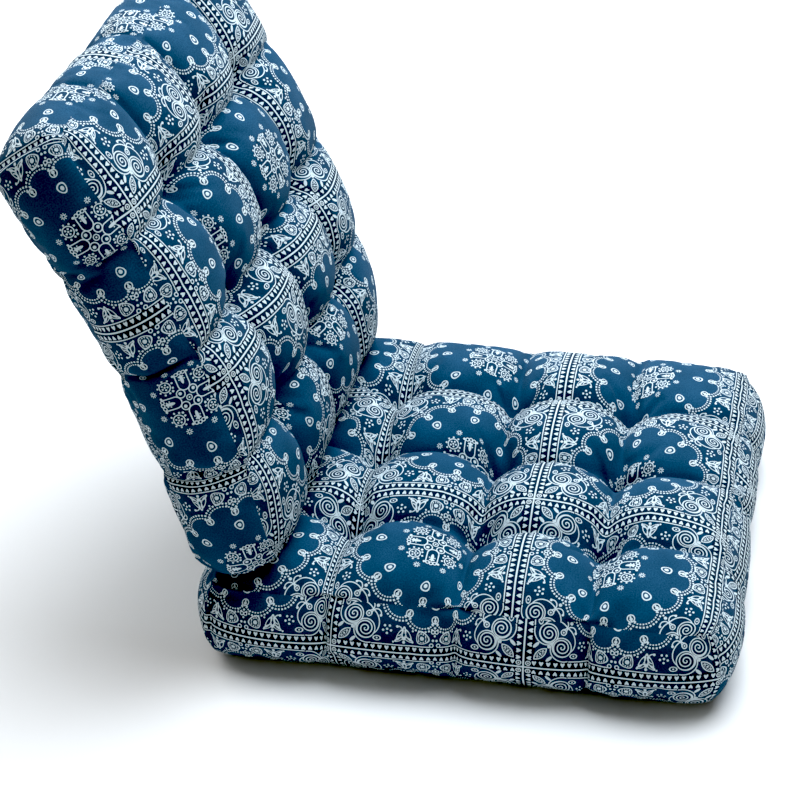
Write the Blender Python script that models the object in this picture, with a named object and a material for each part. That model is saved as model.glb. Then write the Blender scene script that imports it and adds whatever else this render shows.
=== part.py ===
"""A tufted floor cushion in two parts: a square seat, and a like back that stands on the seat's rear strip.

Metres, +Z up. The origin is the middle of the seat's flat underside, and the seat's front looks along +X.
"""

from math import cos, exp, hypot, radians, sin

import bmesh
import bpy

# Sizes from seam to seam
SEAT_SIDE = 0.512
BACK_WIDTH = 0.504
BACK_HEIGHT = 0.474
SEAT_SEAM = 0.088
BACK_BOXING = 0.081

# Filling: how far the panels rise over their seams, and the boxing strips swell out
CROWN = 0.031
EDGE_ROLL = 5
BOXING_SWELL = 0.024
CORNER_SWELL = 0.55
SIDE_DRAWN_IN = 0.007
CORNER_ROUND = 0.012

# Tufts: three rows of three on each panel, with creases from one to the next and on to the seams
TUFTS = (-0.5, 0.0, 0.5)
TUFT_PULL = 0.042
TUFT_SPREAD = 0.019
CREASE_DEPTH = 0.017
CREASE_WIDTH = 0.017
BOXING_CREASE = 0.007

# The seat's underside: flat on the floor, with a rim that turns up to its seam
RIM_START = 0.90
RIM_LIFT = 0.006

# The back: where it stands on the seat, how it leans there, and how far it bends back up its height
STAND_X = -0.259
STAND_Z = 0.099
LEAN = radians(9)
BEND = radians(25.5)
STAND_GAP = 0.0004

# Faces along a panel's side, and up a boxing strip
PANEL_STEPS = 32
BOXING_STEPS = 6

COTTON_BLUE = (0.012, 0.102, 0.270, 1.0)
COTTON_NAVY = (0.010, 0.062, 0.165, 1.0)


def clear_scene():
    for leftover in list(bpy.data.objects):
        bpy.data.objects.remove(leftover, do_unlink=True)


def cotton(name, colour):
    material = bpy.data.materials.new(name)
    material.use_nodes = True
    shader = material.node_tree.nodes["Principled BSDF"]
    shader.inputs["Base Color"].default_value = colour
    shader.inputs["Roughness"].default_value = 0.9
    shader.inputs["Metallic"].default_value = 0.0
    material.diffuse_color = colour
    return material


def side(value):
    return 1.0 if value > 0.0 else -1.0


def crease(across):
    """1 on a line between tufts, falling to 0 beside it. across is the distance from the line."""
    return exp(-((across / CREASE_WIDTH) ** 2))


def to_tuft(place, half):
    """The distance from a place along a side, from -1 to 1, to the nearest line of tufts."""
    return min(abs(place - tuft) for tuft in TUFTS) * half


def panel_rise(a, b, half_a, half_b):
    """How far a filled panel stands over its seams at a, b, each from -1 to 1."""
    rolled = (1.0 - abs(a) ** EDGE_ROLL) * (1.0 - abs(b) ** EDGE_ROLL)
    to_a = to_tuft(a, half_a)
    to_b = to_tuft(b, half_b)
    creased = max(crease(to_a), crease(to_b))
    tufted = exp(-hypot(to_a, to_b) / TUFT_SPREAD)
    return rolled * (CROWN - CREASE_DEPTH * creased) - TUFT_PULL * tufted


def plan(a, b, c, half_a, half_b):
    """A point's place across the cushion: sides drawn in between round corners, boxing swollen and creased."""
    drawn_a = SIDE_DRAWN_IN * (1.0 - b * b) * abs(a) ** 3
    drawn_b = SIDE_DRAWN_IN * (1.0 - a * a) * abs(b) ** 3
    corner = CORNER_ROUND * (a * b) ** 8
    swell = BOXING_SWELL * (1.0 - c * c)
    out_a = swell * (1.0 - (1.0 - CORNER_SWELL) * b ** 8) - BOXING_CREASE * crease(to_tuft(b, half_b))
    out_b = swell * (1.0 - (1.0 - CORNER_SWELL) * a ** 8) - BOXING_CREASE * crease(to_tuft(a, half_a))
    x = a * half_a - side(a) * (drawn_a + corner) + side(a) * (abs(a) == 1.0) * out_a
    y = b * half_b - side(b) * (drawn_b + corner) + side(b) * (abs(b) == 1.0) * out_b
    return x, y


def stand_height(x):
    """The tilted plane on which the back stands, at x."""
    return STAND_Z + (x - STAND_X) * sin(LEAN) / cos(LEAN)


def seat_point(a, b, c):
    half = SEAT_SIDE / 2.0
    x, y = plan(a, b, c, half, half)
    edge = max(abs(a), abs(b))
    rim = RIM_LIFT * (max(0.0, edge - RIM_START) / (1.0 - RIM_START)) ** 2
    if c == -1.0:
        return x, y, rim
    z = RIM_LIFT + (SEAT_SEAM - RIM_LIFT) * (c + 1.0) / 2.0
    if c == 1.0:
        z = SEAT_SEAM + panel_rise(a, b, half, half)
    return x, y, min(z, stand_height(x) - STAND_GAP)


def back_point(a, b, c):
    """a runs across the width, b up the height and c from the rear panel to the front one."""
    half_width = BACK_WIDTH / 2.0
    half_height = BACK_HEIGHT / 2.0
    across, up = plan(a, b, c, half_width, half_height)
    thick = c * BACK_BOXING / 2.0
    if abs(c) == 1.0:
        thick += c * panel_rise(a, b, half_width, half_height)
    # The foot is pressed flat where it stands, and the rest turns steadily back.
    up = max(0.0, up + half_height)
    turned = BEND * up / BACK_HEIGHT
    radius = BACK_HEIGHT / BEND
    forward = (radius + thick) * cos(turned) - radius + BACK_BOXING / 2.0
    return forward, across, (radius + thick) * sin(turned)


def boxed_cushion(name, point_of, material):
    """A closed box of even faces, each of its points moved to the filled cushion's surface."""
    mesh = bmesh.new()
    bmesh.ops.create_cube(mesh, size=2.0)
    for axis, steps in enumerate((PANEL_STEPS, PANEL_STEPS, BOXING_STEPS)):
        along = [edge for edge in mesh.edges if abs(edge.verts[0].co[axis] - edge.verts[1].co[axis]) > 1.0]
        bmesh.ops.subdivide_edges(mesh, edges=along, cuts=steps - 1, use_grid_fill=True)
    for vertex in mesh.verts:
        vertex.co = point_of(*(round(value, 6) for value in vertex.co))
    bmesh.ops.recalc_face_normals(mesh, faces=mesh.faces)
    data = bpy.data.meshes.new(name)
    mesh.to_mesh(data)
    mesh.free()
    data.materials.append(material)
    for face in data.polygons:
        face.use_smooth = True
    return bpy.data.objects.new(name, data)


def build():
    clear_scene()
    collection = bpy.data.collections.new("tufted_seat_and_back_cushion")
    bpy.context.scene.collection.children.link(collection)

    seat = boxed_cushion("seat_cushion", seat_point, cotton("seat_cotton", COTTON_BLUE))
    collection.objects.link(seat)

    back = boxed_cushion("back_cushion", back_point, cotton("back_cotton", COTTON_NAVY))
    back.location = (STAND_X, 0.0, STAND_Z)
    back.rotation_euler = (0.0, -LEAN, 0.0)
    collection.objects.link(back)


build()
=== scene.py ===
"""Looks of a tufted floor cushion in two parts, a square seat and a like back, in printed indigo cotton.

Each cover is cut flat, filled by a cloth simulation between its seams and tufts, and keeps its place on the
cut cloth as a UV map in metres, so that the bandana print and the weave follow every puff and fold.
"""

from math import cos, pi, radians, sin

import bmesh
import bpy
import numpy as np
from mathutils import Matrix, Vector


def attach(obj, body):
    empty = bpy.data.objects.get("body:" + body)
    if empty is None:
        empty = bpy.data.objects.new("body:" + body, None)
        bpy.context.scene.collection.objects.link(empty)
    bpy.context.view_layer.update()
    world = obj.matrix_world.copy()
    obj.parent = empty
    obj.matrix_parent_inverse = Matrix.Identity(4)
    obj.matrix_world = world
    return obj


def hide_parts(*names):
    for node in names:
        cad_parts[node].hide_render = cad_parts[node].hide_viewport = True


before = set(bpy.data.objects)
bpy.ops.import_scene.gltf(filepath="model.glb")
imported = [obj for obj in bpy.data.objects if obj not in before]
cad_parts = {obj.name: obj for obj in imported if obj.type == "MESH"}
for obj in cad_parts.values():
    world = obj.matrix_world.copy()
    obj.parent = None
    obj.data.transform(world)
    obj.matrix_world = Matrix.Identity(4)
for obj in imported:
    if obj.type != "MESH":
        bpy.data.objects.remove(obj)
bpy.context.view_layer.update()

bl_info = {
    "name": "Tufted seat and back cushion",
    "version": (1, 0, 0),
    "blender": (4, 5, 0),
    "location": "View3D > Sidebar > Cushion",
    "description": "Makes the covers, tuft ties and studio of a tufted seat and back floor cushion",
    "category": "Object",
}

# Sizes from seam to seam, in metres
SEAT_SIDE = 0.512
BACK_WIDTH = 0.504
BACK_HEIGHT = 0.474
SEAT_SEAM = 0.088
BACK_BOXING = 0.081
RIM_START = 0.90
RIM_LIFT = 0.006

# How the filled panels and boxing strips stand over their seams
EDGE_ROLL = 5
CORNER_ROLL = 8
CORNER_SWELL = 0.55
SWELL_START = 0.80
SIDE_DRAWN_IN = 0.007
CORNER_ROUND = 0.012
BACK_FILLED = 0.80

# Tufts as shares of half a side, the creases between them and across the boxing, and the pleats round them
TUFTS = (-0.5, 0.0, 0.5)
TUFT_SPREAD = 0.019
CREASE_WIDTH = 0.0115
CREASE_EDGE = 1.1
BOXING_CREASE = 0.004
BOXING_CREASE_MIDDLE = 0.3
PLEATS = 7
FINE_PLEATS = 11
FINE_SHARE = 0.4
PLEAT_SHIFT_A = 5.1
PLEAT_SHIFT_B = 8.3
PLEAT_DEPTH = 0.0022
PLEAT_START = 0.010
PLEAT_REACH = 0.024

# How firmly the seams and creases are held while the cloth settles, and how far a tuft or crease holds it
SEAM_HOLD = 0.5
CREASE_HOLD = 0.35
TUFT_HOLD_REACH = 0.007
CREASE_HOLD_REACH = 0.004

# Where the back stands, how it leans, and how far it bends up its height
STAND_X = -0.259
STAND_Z = 0.099
LEAN = radians(9)
BEND = radians(25.5)
STAND_GAP = 0.0004
FOOT_REACH = 0.020
FOOT_HOLD = 0.0005

# Stitches that tie each tuft
STITCH_LENGTH = 0.008
STITCH_BOW = 0.0016
STITCH_STEPS = 9
THREAD_RADIUS = 0.0006
THREAD_SIDES = 8
TIE_STEP = 0.02

# Threads of the weave as drawn, and the print's marks, which let a little of the ground through
DRAWN_THREADS = 0.0016
MARK_COVER = 0.93

# The darkest light that the picture keeps, which gives it a photograph's deep shadows
BLACK_LEVEL = (0.037, 0.040, 0.052)

# Faces along a panel's side and up a boxing strip, and how long the cloth settles
PANEL_STEPS = 96
BOXING_STEPS = 14
SIM_FRAMES = 14

# The panels and strips of each cover: the axis of its grid that each one ends, at which end, and where a
# border of the print crosses it, in metres from its middle
SEAT_PANELS = {
    "top": (2, 1.0, 0.060, 0.100),
    "underside": (2, -1.0, 0.020, 0.070),
    "near": (1, -1.0, 0.074, 0.000),
    "far": (1, 1.0, 0.040, 0.030),
    "front": (0, 1.0, 0.045, 0.020),
    "rear": (0, -1.0, 0.010, 0.000),
}
BACK_PANELS = {
    "front": (2, 1.0, -0.245, -0.040),
    "rear": (2, -1.0, 0.050, 0.020),
    "near": (0, -1.0, 0.060, 0.124),
    "far": (0, 1.0, 0.020, 0.080),
    "top": (1, 1.0, -0.065, 0.124),
    "foot": (1, -1.0, 0.010, 0.040),
}

MATH = "ShaderNodeMath"
VECTOR = "ShaderNodeVectorMath"
TURN = "ShaderNodeVectorRotate"
SPLIT = "ShaderNodeSeparateXYZ"
JOIN = "ShaderNodeCombineXYZ"


def linear(hex_colour):
    """A linear colour from an sRGB hex value."""
    parts = [int(hex_colour[start : start + 2], 16) / 255.0 for start in (1, 3, 5)]
    return [part / 12.92 if part <= 0.04045 else ((part + 0.055) / 1.055) ** 2.4 for part in parts]


class CoverProperties(bpy.types.PropertyGroup):
    crown: bpy.props.FloatProperty(
        name="Crown",
        description="How far a panel stands over its seams before it settles",
        default=0.027,
        unit="LENGTH",
    )
    crease_depth: bpy.props.FloatProperty(
        name="Crease depth",
        description="How deep the lines between tufts are drawn in",
        default=0.019,
        unit="LENGTH",
    )
    tuft_pull: bpy.props.FloatProperty(
        name="Tuft pull",
        description="How deep a tuft draws the panel in",
        default=0.042,
        unit="LENGTH",
    )
    boxing_swell: bpy.props.FloatProperty(
        name="Boxing swell",
        description="How far the boxing strips swell out between their seams before they settle",
        default=0.018,
        unit="LENGTH",
    )
    fullness: bpy.props.FloatProperty(
        name="Fullness",
        description="The cloth's length over that of the cover's first shape, taken up in puffs and folds",
        default=1.06,
    )
    pressure: bpy.props.FloatProperty(
        name="Filling pressure",
        description="The pressure of the filling on the cloth while it settles",
        default=45.0,
    )
    most_move: bpy.props.FloatProperty(
        name="Most movement",
        description="The furthest that the cloth may settle from its first shape",
        default=0.018,
        unit="LENGTH",
    )


class PrintProperties(bpy.types.PropertyGroup):
    block: bpy.props.FloatProperty(
        name="Print block",
        description="The side of one square block of the print",
        default=0.200,
        unit="LENGTH",
    )
    indigo: bpy.props.FloatVectorProperty(
        name="Indigo",
        description="The ground of the print",
        subtype="COLOR",
        default=linear("#2d516e"),
    )
    navy: bpy.props.FloatVectorProperty(
        name="Navy",
        description="The dark ground of the borders and the medallions",
        subtype="COLOR",
        default=linear("#0d1f36"),
    )
    chalk: bpy.props.FloatVectorProperty(
        name="Chalk white",
        description="The undyed marks of the print",
        subtype="COLOR",
        default=linear("#d9e8ee"),
    )


class StudioProperties(bpy.types.PropertyGroup):
    camera_place: bpy.props.FloatVectorProperty(
        name="Camera place",
        description="Where the camera stands",
        subtype="TRANSLATION",
        default=(0.307, -1.928, 1.366),
    )
    camera_turn: bpy.props.FloatVectorProperty(
        name="Camera turn",
        description="How the camera is turned",
        subtype="EULER",
        default=(radians(58.67), radians(1.2), radians(11.29)),
    )
    lens: bpy.props.FloatProperty(
        name="Lens",
        description="Focal length in millimetres",
        default=98.9,
        unit="CAMERA",
    )


# The shape that the filling gives each cover


def crease(across):
    """1 on a line between tufts, falling to 0 beside it."""
    return np.exp(-((across / CREASE_WIDTH) ** CREASE_EDGE))


def to_tuft(place, half):
    """The distance along a side to the nearest line of tufts."""
    return np.min([np.abs(place - tuft) for tuft in TUFTS], axis=0) * half


def pleats(a, b, half_a, half_b):
    """The uneven folds that run out from each tuft, from -1 to 1."""
    near_a = np.clip(np.round(a * 2.0) / 2.0, TUFTS[0], TUFTS[-1])
    near_b = np.clip(np.round(b * 2.0) / 2.0, TUFTS[0], TUFTS[-1])
    angle = np.arctan2((b - near_b) * half_b, (a - near_a) * half_a)
    shift = PLEAT_SHIFT_A * near_a + PLEAT_SHIFT_B * near_b
    broad = np.cos(PLEATS * angle + shift)
    fine = np.cos(FINE_PLEATS * angle - 2.0 * shift)
    return (1.0 - FINE_SHARE) * broad + FINE_SHARE * fine


def panel_rise(a, b, half_a, half_b, cover, filled=1.0):
    """How far a panel stands over its seams. filled is the share of the seat's filling that it holds."""
    rolled = (1.0 - np.abs(a) ** EDGE_ROLL) * (1.0 - np.abs(b) ** EDGE_ROLL)
    to_a = to_tuft(a, half_a)
    to_b = to_tuft(b, half_b)
    creased = np.maximum(crease(to_a), crease(to_b))
    reach = np.hypot(to_a, to_b)
    tufted = np.exp(-reach / TUFT_SPREAD)
    pleated = PLEAT_DEPTH * pleats(a, b, half_a, half_b) * np.exp(-reach / PLEAT_REACH)
    pleated = pleated * np.clip(reach / PLEAT_START, 0.0, 1.0) * rolled
    return pleated + filled * rolled * (cover.crown - cover.crease_depth * creased) - cover.tuft_pull * tufted


def plan(a, b, c, half_a, half_b, cover):
    """Each point's place across the cushion, from its place along the cushion's sides."""
    places = []
    for along, other, half, other_half in ((a, b, half_a, half_b), (b, a, half_b, half_a)):
        side = np.sign(along)
        drawn = SIDE_DRAWN_IN * (1.0 - other**2) * np.abs(along) ** 3
        corner = CORNER_ROUND * (a * b) ** CORNER_ROLL
        swell = cover.boxing_swell * (1.0 - c**2) * (1.0 - (1.0 - CORNER_SWELL) * other**CORNER_ROLL)
        to_middle = BOXING_CREASE_MIDDLE + (1.0 - BOXING_CREASE_MIDDLE) * c**4
        pinched = BOXING_CREASE * to_middle * crease(to_tuft(other, other_half))
        reached = np.clip((np.abs(along) - SWELL_START) / (1.0 - SWELL_START), 0.0, 1.0) ** 2
        out = swell * reached - pinched * (np.abs(along) == 1.0)
        places.append(along * half + side * (out - drawn - corner))
    return places


def stand_height(x):
    """The tilted plane on which the back stands, at x."""
    return STAND_Z + (x - STAND_X) * sin(LEAN) / cos(LEAN)


def seat_points(a, b, c, cover):
    half = SEAT_SIDE / 2.0
    x, y = plan(a, b, c, half, half, cover)
    edge = np.maximum(np.abs(a), np.abs(b))
    rim = RIM_LIFT * (np.maximum(0.0, edge - RIM_START) / (1.0 - RIM_START)) ** 2
    z = RIM_LIFT + (SEAT_SEAM - RIM_LIFT) * (c + 1.0) / 2.0
    # The foot of the back presses the filling into the creases under it.
    foot = np.clip((STAND_X + BACK_BOXING - x) / FOOT_REACH, 0.0, 1.0) * (1.0 - np.abs(a) ** EDGE_ROLL)
    pressed = foot * cover.crease_depth * crease(to_tuft(b, half))
    z = z + (panel_rise(a, b, half, half, cover) + pressed) * (c == 1.0)
    z = np.where(c == -1.0, rim, np.minimum(z, stand_height(x) - STAND_GAP))
    return np.stack([x, y, z], axis=1)


def back_points(a, b, c, cover):
    """a runs across the width, b up the height and c from the rear panel to the front one."""
    half_width = BACK_WIDTH / 2.0
    half_height = BACK_HEIGHT / 2.0
    across, up = plan(a, b, c, half_width, half_height, cover)
    rise = panel_rise(a, b, half_width, half_height, cover, BACK_FILLED)
    thick = c * BACK_BOXING / 2.0 + c * (np.abs(c) == 1.0) * rise
    up = np.maximum(0.0, up + half_height)
    turned = BEND * up / BACK_HEIGHT
    radius = BACK_HEIGHT / BEND
    forward = (radius + thick) * np.cos(turned) - radius + BACK_BOXING / 2.0
    height = (radius + thick) * np.sin(turned)
    x = STAND_X + forward * cos(LEAN) - height * sin(LEAN)
    z = STAND_Z + forward * sin(LEAN) + height * cos(LEAN)
    return np.stack([x, across, z], axis=1)


def cut_length(half_a, half_b, cover):
    """Places along a side from 0 to 1, and the length of cut cloth from the middle to each."""
    along = np.linspace(0.0, 1.0, 91)
    quarter = np.full_like(along, 0.25)
    x, _ = plan(along, quarter, np.ones_like(along), half_a, half_b, cover)
    rise = panel_rise(along, quarter, half_a, half_b, cover)
    steps = np.hypot(np.diff(x), np.diff(rise))
    return along, np.concatenate([[0.0], np.cumsum(steps)])


def on_cut_cloth(a, b, c, half_a, half_b, boxing, cover):
    """Each point's place on the cut cloth: along each side, and across a boxing strip from its middle."""
    cut = []
    for place, halves in ((a, (half_a, half_b)), (b, (half_b, half_a))):
        along, length = cut_length(*halves, cover)
        cut.append(np.sign(place) * np.interp(np.abs(place), along, length))
    across = np.linspace(-1.0, 1.0, 41)
    out = cover.boxing_swell * (1.0 - across**2)
    length = np.concatenate([[0.0], np.cumsum(np.hypot(np.diff(out), np.diff(across) * boxing / 2.0))])
    cut.append(np.interp(c, across, length - length[-1] / 2.0))
    return np.stack(cut, axis=1)


def cover_grid(name):
    """A box of even faces with a side of 2, and each vertex's place on it."""
    mesh = bmesh.new()
    bmesh.ops.create_cube(mesh, size=2.0)
    for axis, steps in enumerate((PANEL_STEPS, PANEL_STEPS, BOXING_STEPS)):
        along = [edge for edge in mesh.edges if abs(edge.verts[0].co[axis] - edge.verts[1].co[axis]) > 1.0]
        bmesh.ops.subdivide_edges(mesh, edges=along, cuts=steps - 1, use_grid_fill=True)
    bmesh.ops.recalc_face_normals(mesh, faces=mesh.faces)
    data = bpy.data.meshes.new(name)
    mesh.to_mesh(data)
    mesh.free()
    places = np.empty(len(data.vertices) * 3)
    data.vertices.foreach_get("co", places)
    return data, np.round(places.reshape(-1, 3), 6)


def lay_out_print(data, places, cut, panels):
    """The UV map: each panel's place on the printed cloth, in metres."""
    corners = np.empty(len(data.loops), dtype=int)
    data.loops.foreach_get("vertex_index", corners)
    corners = corners.reshape(-1, 4)
    at = places[corners]
    on = cut[corners]
    uv = np.zeros(on.shape[:2] + (2,))
    for axis, end, *shift in panels.values():
        mine = np.all(at[:, :, axis] == end, axis=1)
        along = [other for other in range(3) if other != axis]
        uv[mine] = on[mine][:, :, along] - shift
    layer = data.uv_layers.new(name="cut_cloth")
    layer.data.foreach_set("uv", uv.reshape(-1))


def settle(cover_object, start, held, cover, filled):
    """Lets the cloth, cut fuller than its first shape, settle round the filling between seams and tufts."""
    group = cover_object.vertex_groups.new(name="held")
    for index, weight in enumerate(held):
        if weight > 0.0:
            group.add([index], float(weight), "REPLACE")
    modifier = cover_object.modifiers.new("filling", "CLOTH")
    cloth = modifier.settings
    cloth.quality = 5
    cloth.mass = 0.0005
    cloth.tension_stiffness = 15.0
    cloth.compression_stiffness = 15.0
    cloth.shear_stiffness = 6.0
    cloth.bending_stiffness = 0.004
    cloth.tension_damping = 0.5
    cloth.compression_damping = 0.5
    cloth.shear_damping = 0.5
    cloth.bending_damping = 0.1
    cloth.shrink_min = 1.0 - cover.fullness
    cloth.vertex_group_mass = "held"
    cloth.use_pressure = True
    cloth.uniform_pressure_force = cover.pressure * filled
    cloth.effector_weights.gravity = 0.0
    modifier.collision_settings.use_collision = False
    modifier.point_cache.frame_start = 1
    modifier.point_cache.frame_end = SIM_FRAMES
    for number in range(1, SIM_FRAMES + 1):
        bpy.context.scene.frame_set(number)
    settled = cover_object.evaluated_get(bpy.context.evaluated_depsgraph_get())
    points = np.empty(len(settled.data.vertices) * 3)
    settled.data.vertices.foreach_get("co", points)
    cover_object.modifiers.remove(modifier)
    cover_object.vertex_groups.clear()
    bpy.context.scene.frame_set(1)
    moved = points.reshape(-1, 3) - start
    far = np.linalg.norm(moved, axis=1, keepdims=True)
    return start + moved * np.minimum(1.0, cover.most_move * filled / np.maximum(far, 1e-9))


def add(tree, kind, *values, out=0, **settings):
    """Adds a node with its settings, and links or sets its inputs in order."""
    made = tree.nodes.new(kind)
    for name, value in settings.items():
        setattr(made, name, value)
    for socket, value in zip(made.inputs, values):
        if isinstance(value, bpy.types.NodeSocket):
            tree.links.new(value, socket)
        elif value is not None:
            socket.default_value = value
    return made.outputs[out]


# Dots of the print: x, y and radius in a block whose side is 1, each chart in the place that its marks take
CORNER_DOTS = (
    (0.603, 0.0, 0.0050),
    (0.588, 0.0, 0.0036),
    (0.618, 0.0, 0.0036),
    (0.550, 0.0, 0.0075),
    (0.452, 0.0, 0.0045),
    (0.396, 0.0, 0.0080),
    (0.380, 0.0, 0.0045),
)
BAND_DOTS = (
    (0.430, 0.272, 0.0042),
    (0.369, 0.180, 0.0062),
    (0.386, 0.106, 0.0046),
    (0.440, 0.106, 0.0046),
    (0.442, 0.196, 0.0046),
    (0.368, 0.030, 0.0046),
    (0.402, 0.0, 0.0050),
    (0.424, 0.009, 0.0060),
)
FLORET_DOTS = (
    (0.333, 0.0, 0.0078),
    (0.321, 0.0, 0.0046),
    (0.349, 0.013, 0.0056),
)
LOOP_DOTS = (
    (0.1060, 0.0090, 0.0042),
    (0.0920, 0.0125, 0.0034),
    (0.1235, 0.0335, 0.0062),
    (0.0, 0.0, 0.0042),
)
FLOWER_DOTS = (
    (0.0450, 0.0, 0.0078),
    (0.0780, 0.0, 0.0058),
    (0.0860, 0.0145, 0.0052),
    (0.1000, 0.0330, 0.0052),
    (0.1240, 0.0355, 0.0048),
    (0.1450, 0.0225, 0.0048),
    (0.1530, 0.0, 0.0048),
)


# Marks of the print. Each takes the place in one block, whose side is 1, and gives 1 on its mark.


def gap_to(tree, place, x, y):
    return add(tree, VECTOR, place, (x, y, 0.0), operation="DISTANCE", out=1)


def dot(tree, place, x, y, radius):
    return add(tree, MATH, gap_to(tree, place, x, y), radius, operation="LESS_THAN")


def dots(tree, place, chart):
    return [dot(tree, place, x, y, radius) for x, y, radius in chart]


def ring(tree, place, x, y, radius, half=0.0028):
    return add(tree, MATH, gap_to(tree, place, x, y), radius, half, operation="COMPARE")


def wreath(tree, place, x, y, count, radius, size):
    """Even dots round x, y and one at it."""
    moved = add(tree, VECTOR, place, (x, y, 0.0), operation="SUBTRACT")
    parts = add(tree, SPLIT, moved).node.outputs
    out = add(tree, VECTOR, moved, operation="LENGTH", out=1)
    angle = add(tree, MATH, parts[1], parts[0], operation="ARCTAN2")
    angle = add(tree, MATH, angle, pi / count, operation="PINGPONG")
    aside = add(tree, MATH, angle, radius, operation="MULTIPLY")
    from_dot = add(tree, JOIN, aside, add(tree, MATH, out, radius, operation="SUBTRACT"))
    gap = add(tree, VECTOR, from_dot, operation="LENGTH", out=1)
    return add(tree, MATH, add(tree, MATH, gap, out, operation="MINIMUM"), size, operation="LESS_THAN")


def within(tree, first, second):
    """Where both marks are."""
    return add(tree, MATH, first, second, operation="MULTIPLY")


def together(tree, *marks):
    """All the marks as one."""
    total = marks[0]
    for mark in marks[1:]:
        total = add(tree, MATH, total, mark, operation="MAXIMUM")
    return total


def turned(tree, place, degrees, x=0.0, y=0.0):
    """place seen from x, y and turned."""
    moved = add(tree, VECTOR, place, (x, y, 0.0), operation="SUBTRACT")
    return add(tree, TURN, moved, None, None, radians(degrees), rotation_type="Z_AXIS")


def petal(tree, place, wide, high, half=0.22):
    """The outline of an oval round the middle of place."""
    scaled = add(tree, VECTOR, place, (1.0 / wide, 1.0 / high, 0.0), operation="MULTIPLY")
    size = add(tree, VECTOR, scaled, operation="LENGTH", out=1)
    return add(tree, MATH, size, 1.0, half, operation="COMPARE")


def drop(tree, place, narrowing, fullness):
    """The size of the drop round the middle of place on which each point lies, pointed along y."""
    parts = add(tree, SPLIT, place).node.outputs
    wide = add(tree, MATH, parts[1], narrowing, fullness, operation="MULTIPLY_ADD")
    across = add(tree, MATH, parts[0], wide, operation="MULTIPLY")
    return add(tree, VECTOR, add(tree, JOIN, across, parts[1]), operation="LENGTH", out=1)


def folded(tree, block, angle, step, first, turn):
    """The block folded onto one of its even turns: step degrees apart, the first at first, then turned."""
    moved = add(tree, MATH, angle, radians(first), operation="ADD")
    snapped = add(tree, MATH, moved, radians(step), operation="SNAP")
    facing = add(tree, MATH, snapped, radians(turn), operation="ADD")
    return add(tree, TURN, block, None, None, facing, rotation_type="Z_AXIS", invert=True)


def border_marks(tree, eighth, p, q):
    """The hearts along each border, its line, the thin line inside it and a ringed dot at each corner."""
    along = add(tree, MATH, q, 1.0 / 62.0, operation="PINGPONG")
    across = add(tree, MATH, p, 0.478, operation="SUBTRACT")
    heart = add(tree, JOIN, along, add(tree, MATH, along, 0.9, across, operation="MULTIPLY_ADD"))
    size = add(tree, VECTOR, heart, operation="LENGTH", out=1)
    hearts = add(tree, MATH, size, 0.0098, operation="LESS_THAN")
    thin = add(tree, MATH, p, 0.457, 0.0028, operation="COMPARE")
    upto = add(tree, MATH, q, 0.160, 0.136, operation="COMPARE")
    return [
        add(tree, MATH, p, 0.4958, operation="GREATER_THAN"),
        within(tree, hearts, add(tree, MATH, q, 0.463, operation="LESS_THAN")),
        within(tree, thin, upto),
        ring(tree, eighth, 0.448, 0.017, 0.0085, 0.0026),
        ring(tree, eighth, 0.4785, 0.4785, 0.0105, 0.0026),
        dot(tree, eighth, 0.4785, 0.4785, 0.0040),
    ]


def scroll_marks(tree, eighth, p):
    """The spiral by each corner, the sweep that feeds it, and the arm that leaves it and ends in a hook."""
    centred = add(tree, VECTOR, eighth, (0.390, 0.328, 0.0), operation="SUBTRACT")
    parts = add(tree, SPLIT, centred).node.outputs
    out = add(tree, VECTOR, centred, operation="LENGTH", out=1)
    angle = add(tree, MATH, parts[1], parts[0], operation="ARCTAN2")
    turns = add(tree, MATH, out, 1.0 / 0.0172, operation="MULTIPLY")
    turns = add(tree, MATH, angle, 1.0 / (2.0 * pi), turns, operation="MULTIPLY_ADD")
    coil = add(tree, MATH, add(tree, MATH, turns, operation="FRACT"), 0.5, 0.17, operation="COMPARE")
    disc = add(tree, MATH, out, 0.0435, operation="LESS_THAN")
    sweep = add(tree, MATH, angle, 0.0094, out, operation="MULTIPLY_ADD")
    sweep = add(tree, MATH, sweep, 0.0670, 0.0028, operation="COMPARE")
    swept = add(tree, MATH, angle, 1.0, 1.40, operation="COMPARE")
    arm = add(tree, MATH, angle, 0.0290, out, operation="MULTIPLY_ADD")
    arm = add(tree, MATH, arm, 0.0122, 0.0030, operation="COMPARE")
    reached = add(tree, MATH, angle, -2.05, 0.95, operation="COMPARE")
    hook = ring(tree, eighth, 0.320, 0.283, 0.0235)
    hooked = add(tree, MATH, p, 0.323, operation="LESS_THAN")
    marks = [
        within(tree, coil, disc),
        add(tree, MATH, out, 0.0445, 0.0028, operation="COMPARE"),
        within(tree, sweep, swept),
        within(tree, arm, reached),
        within(tree, hook, hooked),
        dot(tree, eighth, 0.325, 0.261, 0.0065),
    ]
    return marks, disc


def corner_marks(tree, eighth, corner):
    """The leaf on each corner's diagonal, with petals beside it, and the bud behind the spirals."""
    leaf = gap_to(tree, corner, 0.603, -0.0355)
    parts = add(tree, SPLIT, corner).node.outputs
    beads = add(tree, MATH, parts[0], 0.0052, operation="PINGPONG")
    beads = add(tree, MATH, beads, 0.0030, operation="LESS_THAN")
    side = turned(tree, eighth, -45, 0.447, 0.386)
    side = add(tree, VECTOR, side, (55.0, 133.0, 0.0), operation="MULTIPLY")
    marks = [
        add(tree, MATH, leaf, 0.0520, 0.0028, operation="COMPARE"),
        within(tree, add(tree, MATH, leaf, 0.0440, 0.0020, operation="COMPARE"), beads),
        add(tree, MATH, add(tree, VECTOR, side, operation="LENGTH", out=1), 1.0, operation="LESS_THAN"),
        ring(tree, corner, 0.4520, 0.0, 0.0120),
    ]
    marks += dots(tree, corner, CORNER_DOTS)
    return marks, add(tree, MATH, leaf, 0.0520, operation="LESS_THAN")


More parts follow.
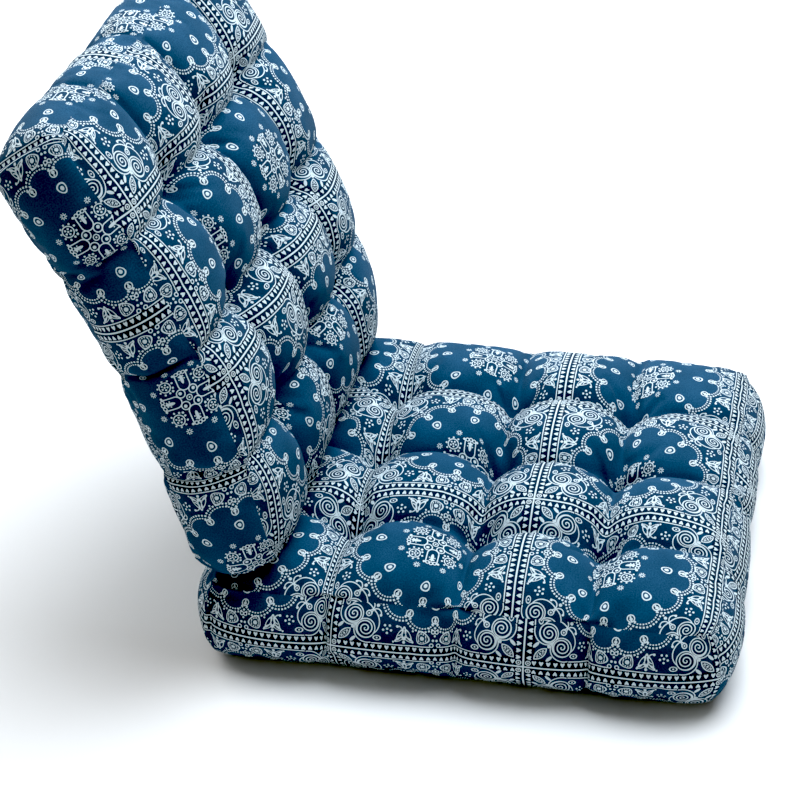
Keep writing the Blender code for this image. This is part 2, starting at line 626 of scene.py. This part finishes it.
def band_marks(tree, eighth, q):
    """Between the border and the scallops: a flower of dots, a ringed dot, a paisley and a lotus."""
    marks = [
        wreath(tree, eighth, 0.384, 0.226, 5, 0.0190, 0.0056),
        petal(tree, turned(tree, eighth, 0, 0.430, 0.272), 0.0105, 0.0165, 0.20),
    ]
    paisley = drop(tree, turned(tree, eighth, 50, 0.417, 0.062), 13.0, 1.0)
    rows = add(tree, MATH, add(tree, MATH, q, 0.0055, operation="PINGPONG"), 0.0028, operation="LESS_THAN")
    marks += [
        add(tree, MATH, paisley, 0.0285, 0.0027, operation="COMPARE"),
        within(tree, add(tree, MATH, paisley, 0.0200, 0.0032, operation="COMPARE"), rows),
        add(tree, MATH, paisley, 0.0100, operation="LESS_THAN"),
    ]
    lotus = add(tree, VECTOR, eighth, (0.424, 0.147, 0.0), operation="SUBTRACT")
    parts = add(tree, SPLIT, lotus).node.outputs
    half = add(tree, JOIN, parts[0], add(tree, MATH, parts[1], operation="ABSOLUTE"))
    curl = within(
        tree,
        ring(tree, eighth, 0.389, 0.176, 0.0215, 0.0026),
        add(tree, MATH, q, 0.174, operation="LESS_THAN"),
    )
    marks += [
        petal(tree, turned(tree, half, 0, -0.028, 0.0), 0.025, 0.0085),
        petal(tree, turned(tree, half, -28, -0.018, 0.019), 0.026, 0.009),
        petal(tree, turned(tree, half, -62, 0.004, 0.022), 0.020, 0.007, 0.25),
        dot(tree, half, 0.0, 0.0, 0.008),
        dot(tree, half, 0.017, 0.0, 0.007),
        curl,
        ring(tree, eighth, 0.384, 0.009, 0.0080, 0.0024),
    ]
    return marks + dots(tree, eighth, BAND_DOTS)


def scallop_marks(tree, block, angle, r):
    """Sixteen arcs round the field in two rows of fine beads, and a floret where they join."""
    arc = folded(tree, block, angle, 22.5, 0, 11.25)
    out = gap_to(tree, arc, 0.300, 0.0)
    outside = add(tree, MATH, r, 0.315, operation="GREATER_THAN")
    parts = add(tree, SPLIT, add(tree, VECTOR, arc, (0.300, 0.0, 0.0), operation="SUBTRACT")).node.outputs
    bead = add(tree, MATH, parts[1], parts[0], operation="ARCTAN2")
    bead = add(tree, MATH, add(tree, MATH, bead, 0.0880, operation="PINGPONG"), 0.050, operation="LESS_THAN")
    rows = together(
        tree,
        add(tree, MATH, out, 0.0765, 0.0034, operation="COMPARE"),
        add(tree, MATH, out, 0.0915, 0.0044, operation="COMPARE"),
    )
    joint = add(tree, VECTOR, folded(tree, block, angle, 22.5, 11.25, 0), operation="ABSOLUTE")
    marks = [
        within(tree, within(tree, rows, bead), outside),
        ring(tree, joint, 0.329, 0.0, 0.0165),
    ]
    marks += dots(tree, joint, FLORET_DOTS)
    beyond = within(tree, outside, add(tree, MATH, out, 0.0765, operation="GREATER_THAN"))
    return marks, dot(tree, joint, 0.329, 0.0, 0.0165), beyond


def field_marks(tree, block, angle):
    """Eight drops and eight stars round the medallion."""
    seed = drop(tree, turned(tree, folded(tree, block, angle, 45, 22.5, 0), -76, 0.256, 0.0), 13.0, 1.25)
    star = folded(tree, block, angle, 45, 0, 22.5)
    star = add(tree, VECTOR, star, (0.163, 0.0, 0.0), operation="SUBTRACT")
    parts = add(tree, SPLIT, star).node.outputs
    size = add(tree, VECTOR, star, operation="LENGTH", out=1)
    ray = add(tree, MATH, parts[1], parts[0], operation="ARCTAN2")
    ray = add(tree, MATH, ray, radians(22.5), operation="PINGPONG")
    ray = add(tree, MATH, add(tree, MATH, size, ray, operation="MULTIPLY"), 0.0022, operation="LESS_THAN")
    return [
        add(tree, MATH, seed, 0.0230, 0.0036, operation="COMPARE"),
        add(tree, MATH, seed, 0.0105, operation="LESS_THAN"),
        within(tree, ray, add(tree, MATH, size, 0.0100, 0.0055, operation="COMPARE")),
    ]


def medallion_marks(tree, block, eighth, corner, p, q):
    """The medallion: a ringed dot in four lobes, long loops on its axes, round flowers between them."""
    back = add(tree, MATH, add(tree, MATH, 0.066, p, operation="SUBTRACT"), 0.0, operation="MAXIMUM")
    out = add(tree, VECTOR, add(tree, JOIN, back, q), operation="LENGTH", out=1)
    loop = add(tree, MATH, out, 0.0270, 0.0028, operation="COMPARE")
    bud = add(tree, VECTOR, eighth, (0.092, 0.0, 0.0), operation="SUBTRACT")
    bud = add(tree, VECTOR, bud, (43.0, 130.0, 0.0), operation="MULTIPLY")
    return [
        within(tree, loop, add(tree, MATH, p, 0.119, operation="LESS_THAN")),
        add(tree, MATH, add(tree, VECTOR, bud, operation="LENGTH", out=1), 1.0, operation="LESS_THAN"),
        ring(tree, eighth, 0.1275, 0.0, 0.0080, 0.0024),
        ring(tree, eighth, 0.1240, 0.0170, 0.0080, 0.0024),
        ring(tree, block, 0.0, 0.0, 0.0125, 0.0024),
        ring(tree, corner, 0.0420, 0.0, 0.0190, 0.0027),
        ring(tree, corner, 0.1190, 0.0, 0.0255, 0.0027),
        wreath(tree, corner, 0.1190, 0.0, 5, 0.0130, 0.0048),
        *dots(tree, eighth, LOOP_DOTS),
        *dots(tree, corner, FLOWER_DOTS),
    ]


def bandana_print(tree, cloth, side):
    """The white marks and the dark grounds of the print at each place on the cloth, in metres."""
    scaled = add(tree, VECTOR, cloth, (1.0 / side, 1.0 / side, 0.0), operation="MULTIPLY")
    wrapped = add(tree, VECTOR, scaled, operation="FRACTION")
    block = add(tree, VECTOR, wrapped, (0.5, 0.5, 0.0), operation="SUBTRACT")
    parts = add(tree, SPLIT, block).node.outputs
    angle = add(tree, MATH, parts[1], parts[0], operation="ARCTAN2")
    r = add(tree, VECTOR, block, operation="LENGTH", out=1)
    eighth = add(tree, VECTOR, folded(tree, block, angle, 90, 45, 0), operation="ABSOLUTE")
    # p runs out from the block's middle to its border, and q along the border to the corner.
    parts = add(tree, SPLIT, eighth).node.outputs
    p, q = parts[0], parts[1]
    corner = add(tree, TURN, eighth, None, None, radians(45), rotation_type="Z_AXIS", invert=True)
    corner = add(tree, VECTOR, corner, operation="ABSOLUTE")
    scrolls, discs = scroll_marks(tree, eighth, p)
    leaves, leaf_grounds = corner_marks(tree, eighth, corner)
    scallops, floret_grounds, band = scallop_marks(tree, block, angle, r)
    marks = border_marks(tree, eighth, p, q) + scrolls + leaves + band_marks(tree, eighth, q) + scallops
    marks += field_marks(tree, block, angle)
    marks += medallion_marks(tree, block, eighth, corner, p, q)
    border_ground = add(tree, MATH, p, 0.452, operation="GREATER_THAN")
    medallion_ground = add(tree, MATH, r, 0.138, operation="LESS_THAN")
    shades = (
        (border_ground, 0.70),
        (medallion_ground, 0.35),
        (together(tree, discs, leaf_grounds, floret_grounds), 0.50),
        (band, 0.30),
    )
    dark = together(tree, *(add(tree, MATH, ground, depth, operation="MULTIPLY") for ground, depth in shades))
    return together(tree, *marks), dark


def printed_cotton(name, colours):
    """Plain-woven cotton with a resist print: matte, a little fuzzy where it turns away, softly slubbed."""
    material = bpy.data.materials.new(name)
    material.use_nodes = True
    tree = material.node_tree
    shader = tree.nodes["Principled BSDF"]
    cloth = add(tree, "ShaderNodeUVMap", uv_map="cut_cloth")
    white, dark = bandana_print(tree, cloth, colours.block)
    mix = tree.nodes.new("ShaderNodeMix")
    mix.data_type = "RGBA"
    tree.links.new(dark, mix.inputs[0])
    mix.inputs[6].default_value = (*colours.indigo, 1.0)
    mix.inputs[7].default_value = (*colours.navy, 1.0)
    # Washing leaves worn patches about 40 mm across, and the uneven dye mottles the ground every 1.4 mm.
    worn = add(tree, "ShaderNodeTexNoise", cloth, None, 25.0, 3.0, noise_dimensions="2D")
    worn = add(tree, "ShaderNodeMapRange", worn, 0.3, 0.7, 0.88, 1.10)
    mottled = add(tree, "ShaderNodeTexNoise", cloth, None, 700.0, 2.0, noise_dimensions="2D")
    mottled = add(tree, "ShaderNodeMapRange", mottled, 0.3, 0.7, 0.82, 1.18)
    worn = add(tree, MATH, worn, mottled, operation="MULTIPLY")
    ground = add(tree, VECTOR, mix.outputs[2], worn, operation="MULTIPLY")
    over = tree.nodes.new("ShaderNodeMix")
    over.data_type = "RGBA"
    tree.links.new(add(tree, MATH, white, MARK_COVER, operation="MULTIPLY"), over.inputs[0])
    tree.links.new(ground, over.inputs[6])
    over.inputs[7].default_value = (*colours.chalk, 1.0)
    tree.links.new(over.outputs[2], shader.inputs["Base Color"])
    # Threads lie 0.5 mm apart in the real cloth, too fine to show, so they and their slubs are drawn coarser.
    pitch = 2.0 * pi / DRAWN_THREADS
    thread = add(tree, VECTOR, cloth, (pitch, pitch, 0.0), operation="MULTIPLY")
    woven = add(tree, SPLIT, add(tree, VECTOR, thread, operation="SINE")).node.outputs
    weave = add(tree, MATH, woven[0], woven[1], operation="MULTIPLY")
    slub = add(tree, "ShaderNodeTexNoise", cloth, None, 350.0, 2.0, noise_dimensions="2D")
    height = add(tree, MATH, slub, 1.2, weave, operation="MULTIPLY_ADD")
    bump = tree.nodes.new("ShaderNodeBump")
    bump.inputs["Strength"].default_value = 0.8
    bump.inputs["Distance"].default_value = 0.0002
    tree.links.new(height, bump.inputs["Height"])
    tree.links.new(bump.outputs["Normal"], shader.inputs["Normal"])
    shader.inputs["Roughness"].default_value = 0.90
    shader.inputs["IOR"].default_value = 1.47
    shader.inputs["Specular IOR Level"].default_value = 0.12
    shader.inputs["Sheen Weight"].default_value = 0.04
    shader.inputs["Sheen Roughness"].default_value = 0.5
    return material


def twisted_thread(name):
    """Waxed cotton thread: slightly shiny, with painted shade in the grooves between its plies, drawn as fine
    slanted bands.
    """
    material = bpy.data.materials.new(name)
    material.use_nodes = True
    tree = material.node_tree
    shader = tree.nodes["Principled BSDF"]
    place = add(tree, "ShaderNodeTexCoord", out=3)
    plies = add(tree, "ShaderNodeTexWave", place, 600.0, bands_direction="DIAGONAL")
    # Painted shade: the grooves between the plies are darkened down to 0.55 of the thread's colour.
    ply_groove_shade = add(tree, "ShaderNodeMapRange", plies.node.outputs["Fac"], 0.0, 1.0, 0.55, 1.0)
    colour = add(tree, VECTOR, tuple(linear("#9fb4c4")), ply_groove_shade, operation="MULTIPLY")
    tree.links.new(colour, shader.inputs["Base Color"])
    shader.inputs["Roughness"].default_value = 0.60
    shader.inputs["IOR"].default_value = 1.47
    return material


def finish_cover(data, name, places, start, cut, held, panels, limit, material, cover, filled=1.0):
    """Makes one cover from its grid: prints it, settles it, and smooths it once."""
    lay_out_print(data, places, cut, panels)
    data.vertices.foreach_set("co", start.astype(np.float32).reshape(-1))
    data.polygons.foreach_set("use_smooth", np.ones(len(data.polygons), dtype=bool))
    data.materials.append(material)
    made = bpy.data.objects.new(name, data)
    bpy.context.scene.collection.objects.link(made)
    bpy.context.view_layer.update()
    points = limit(settle(made, start, held, cover, filled))
    data.vertices.foreach_set("co", points.astype(np.float32).reshape(-1))
    sharpen_seams(data, places)
    data.update()
    smooth = made.modifiers.new("smooth", "SUBSURF")
    smooth.levels = 1
    smooth.render_levels = 1
    return made


def sharpen_seams(data, places):
    """Keeps the seams round each panel crisp where the cover is smoothed."""
    on_seam = (np.abs(places[:, 2]) == 1.0) & (np.abs(places[:, :2]).max(axis=1) == 1.0)
    ends = np.empty(len(data.edges) * 2, dtype=int)
    data.edges.foreach_get("vertices", ends)
    sharp = on_seam[ends.reshape(-1, 2)].all(axis=1) * 0.5
    crease_layer = data.attributes.new("crease_edge", "FLOAT", "EDGE")
    crease_layer.data.foreach_set("value", sharp.astype(np.float32))


def holding(a, b, c, half_a, half_b):
    """How firmly the seams and tufts hold each point, from 0 to 1."""
    on_panel = np.abs(c) == 1.0
    reach = np.hypot(to_tuft(a, half_a), to_tuft(b, half_b))
    tufted = on_panel * np.exp(-((reach / TUFT_HOLD_REACH) ** 2)) > 0.5
    seam = on_panel * (np.maximum(np.abs(a), np.abs(b)) == 1.0)
    line = np.exp(-((np.minimum(to_tuft(a, half_a), to_tuft(b, half_b)) / CREASE_HOLD_REACH) ** 2))
    line = line * (1.0 + c**2) / 2.0
    return np.maximum(1.0 * tufted, np.maximum(SEAM_HOLD * seam, CREASE_HOLD * line))


def tie_tuft(mesh, at, one, two, side):
    """Two crossed stitches over a tuft, along one and two, each a bowed round thread."""
    out = one.cross(two).normalized() * side
    for number, along in enumerate((one, two)):
        along = (along - along.project(out)).normalized()
        across = out.cross(along)
        rings = []
        for share in np.linspace(-1.0, 1.0, STITCH_STEPS):
            rise = STITCH_BOW * (1.0 - share**2) + THREAD_RADIUS * number
            centre = at + along * (share * STITCH_LENGTH / 2.0) + out * rise
            angles = [2.0 * pi * turn / THREAD_SIDES for turn in range(THREAD_SIDES)]
            round_centre = [across * cos(angle) + out * sin(angle) for angle in angles]
            rings.append([mesh.verts.new(centre + THREAD_RADIUS * way) for way in round_centre])
        for first, second in zip(rings, rings[1:]):
            for turn in range(THREAD_SIDES):
                other = (turn + 1) % THREAD_SIDES
                mesh.faces.new((first[turn], first[other], second[other], second[turn]))
        mesh.faces.new(rings[0][::-1])
        mesh.faces.new(rings[-1])


class CUSHION_OT_seat_cover(bpy.types.Operator):
    """Make the seat's cover, flat where it lies on the floor and pressed where the back stands"""

    bl_idname = "cushion.seat_cover"
    bl_label = "Seat cover"

    def execute(self, context):
        cover = context.scene.cushion_cover
        data, places = cover_grid("seat_cover")
        a, b, c = places.T
        half = SEAT_SIDE / 2.0
        start = seat_points(a, b, c, cover)
        cut = on_cut_cloth(a, b, c, half, half, SEAT_SEAM - RIM_LIFT, cover)
        pressed = start[:, 2] >= stand_height(start[:, 0]) - STAND_GAP - 1e-6
        held = np.where((c == -1.0) | pressed, 1.0, holding(a, b, c, half, half))

        def limit(points):
            top = stand_height(points[:, 0]) - STAND_GAP
            points[:, 2] = np.clip(points[:, 2], 0.0, top)
            return points

        material = printed_cotton("printed_cotton_seat", context.scene.cushion_print)
        made = finish_cover(data, "seat_cover", places, start, cut, held, SEAT_PANELS, limit, material, cover)
        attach(made, "root")
        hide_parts("seat_cushion")
        return {"FINISHED"}


class CUSHION_OT_back_cover(bpy.types.Operator):
    """Make the back's cover, which stands on the seat's rear strip and bends back up its height"""

    bl_idname = "cushion.back_cover"
    bl_label = "Back cover"

    def execute(self, context):
        cover = context.scene.cushion_cover
        data, places = cover_grid("back_cover")
        a, b, c = places.T
        half_width = BACK_WIDTH / 2.0
        half_height = BACK_HEIGHT / 2.0
        start = back_points(a, b, c, cover)
        cut = on_cut_cloth(a, b, c, half_width, half_height, BACK_BOXING, cover)

        def above_foot(points):
            return (points[:, 2] - STAND_Z) * cos(LEAN) - (points[:, 0] - STAND_X) * sin(LEAN)

        held = np.where(above_foot(start) < FOOT_HOLD, 1.0, holding(a, b, c, half_width, half_height))

        def limit(points):
            below = np.minimum(0.0, above_foot(points))
            points[:, 0] += below * sin(LEAN)
            points[:, 2] -= below * cos(LEAN)
            return points

        material = printed_cotton("printed_cotton_back", context.scene.cushion_print)
        filled = BACK_FILLED**2
        made = finish_cover(
            data, "back_cover", places, start, cut, held, BACK_PANELS, limit, material, cover, filled
        )
        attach(made, "root")
        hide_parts("back_cushion")
        return {"FINISHED"}


class CUSHION_OT_tuft_ties(bpy.types.Operator):
    """Make the crossed stitches of twisted thread that draw each tuft in"""

    bl_idname = "cushion.tuft_ties"
    bl_label = "Tuft ties"

    def execute(self, context):
        cover = context.scene.cushion_cover
        a, b = (grid.ravel() for grid in np.meshgrid(TUFTS, TUFTS))
        mesh = bmesh.new()
        for points_of, c in ((seat_points, 1.0), (back_points, 1.0), (back_points, -1.0)):
            level = np.full_like(a, c)
            middle = points_of(a, b, level, cover)
            steps = ((TIE_STEP, 0.0), (0.0, TIE_STEP))
            beside = [points_of(a + step_a, b + step_b, level, cover) for step_a, step_b in steps]
            for at, one, two in zip(middle, *beside):
                tie_tuft(mesh, Vector(at), Vector(one - at), Vector(two - at), c)
        data = bpy.data.meshes.new("tuft_ties")
        mesh.to_mesh(data)
        mesh.free()
        data.polygons.foreach_set("use_smooth", np.ones(len(data.polygons), dtype=bool))
        data.materials.append(twisted_thread("twisted_cotton_thread"))
        made = bpy.data.objects.new("tuft_ties", data)
        context.scene.collection.objects.link(made)
        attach(made, "root")
        return {"FINISHED"}


class CUSHION_OT_studio(bpy.types.Operator):
    """Make the pale floor, the soft lights and the camera"""

    bl_idname = "cushion.studio"
    bl_label = "Studio"

    def execute(self, context):
        studio = context.scene.cushion_studio
        scene = context.scene
        mesh = bmesh.new()
        bmesh.ops.create_grid(mesh, x_segments=1, y_segments=1, size=12.0)
        data = bpy.data.meshes.new("floor")
        mesh.to_mesh(data)
        mesh.free()
        paper = bpy.data.materials.new("studio_paper")
        paper.use_nodes = True
        shader = paper.node_tree.nodes["Principled BSDF"]
        shader.inputs["Base Color"].default_value = (*linear("#f4f4f4"), 1.0)
        shader.inputs["Roughness"].default_value = 0.9
        data.materials.append(paper)
        floor = bpy.data.objects.new("floor", data)
        scene.collection.objects.link(floor)

        world = bpy.data.worlds.new("studio")
        world.use_nodes = True
        background = world.node_tree.nodes["Background"]
        background.inputs["Color"].default_value = (*linear("#fffdf8"), 1.0)
        background.inputs["Strength"].default_value = 0.23
        scene.world = world
        scene.view_settings.view_transform = "Standard"
        scene.view_settings.use_curve_mapping = True
        scene.view_settings.curve_mapping.black_level = BLACK_LEVEL
        scene.view_settings.curve_mapping.update()

        middle = Vector((-0.05, 0.0, 0.20))
        for name, place, size, power, colour in (
            ("softbox_above", (0.35, 0.8, 2.5), 2.4, 130.0, "#f0f8ff"),
            ("softbox_behind", (-2.4, 1.4, 1.8), 2.0, 60.0, "#ffffff"),
        ):
            light = bpy.data.lights.new(name, "AREA")
            light.size = size
            light.energy = power
            light.color = linear(colour)
            lamp = bpy.data.objects.new(name, light)
            lamp.location = place
            lamp.rotation_euler = (middle - Vector(place)).to_track_quat("-Z", "Y").to_euler()
            scene.collection.objects.link(lamp)

        lens = bpy.data.cameras.new("camera")
        lens.sensor_width = 36.0
        lens.lens = studio.lens
        camera = bpy.data.objects.new("camera", lens)
        camera.location = studio.camera_place
        camera.rotation_euler = studio.camera_turn
        scene.collection.objects.link(camera)
        scene.camera = camera
        return {"FINISHED"}


class CUSHION_PT_panel(bpy.types.Panel):
    bl_label = "Tufted cushion"
    bl_idname = "CUSHION_PT_panel"
    bl_space_type = "VIEW_3D"
    bl_region_type = "UI"
    bl_category = "Cushion"

    def draw(self, context):
        for group in (context.scene.cushion_cover, context.scene.cushion_print, context.scene.cushion_studio):
            for name in group.__annotations__:
                self.layout.prop(group, name)
        for operator in OPERATORS:
            self.layout.operator(operator.bl_idname)


OPERATORS = (CUSHION_OT_seat_cover, CUSHION_OT_back_cover, CUSHION_OT_tuft_ties, CUSHION_OT_studio)
CLASSES = (CoverProperties, PrintProperties, StudioProperties, *OPERATORS, CUSHION_PT_panel)


def register():
    for made in CLASSES:
        bpy.utils.register_class(made)
    bpy.types.Scene.cushion_cover = bpy.props.PointerProperty(type=CoverProperties)
    bpy.types.Scene.cushion_print = bpy.props.PointerProperty(type=PrintProperties)
    bpy.types.Scene.cushion_studio = bpy.props.PointerProperty(type=StudioProperties)


def unregister():
    del bpy.types.Scene.cushion_studio
    del bpy.types.Scene.cushion_print
    del bpy.types.Scene.cushion_cover
    for made in reversed(CLASSES):
        bpy.utils.unregister_class(made)


def main():
    register()
    bpy.ops.cushion.studio()
    bpy.ops.cushion.seat_cover()
    bpy.ops.cushion.back_cover()
    bpy.ops.cushion.tuft_ties()


if __name__ == "__main__":
    main()
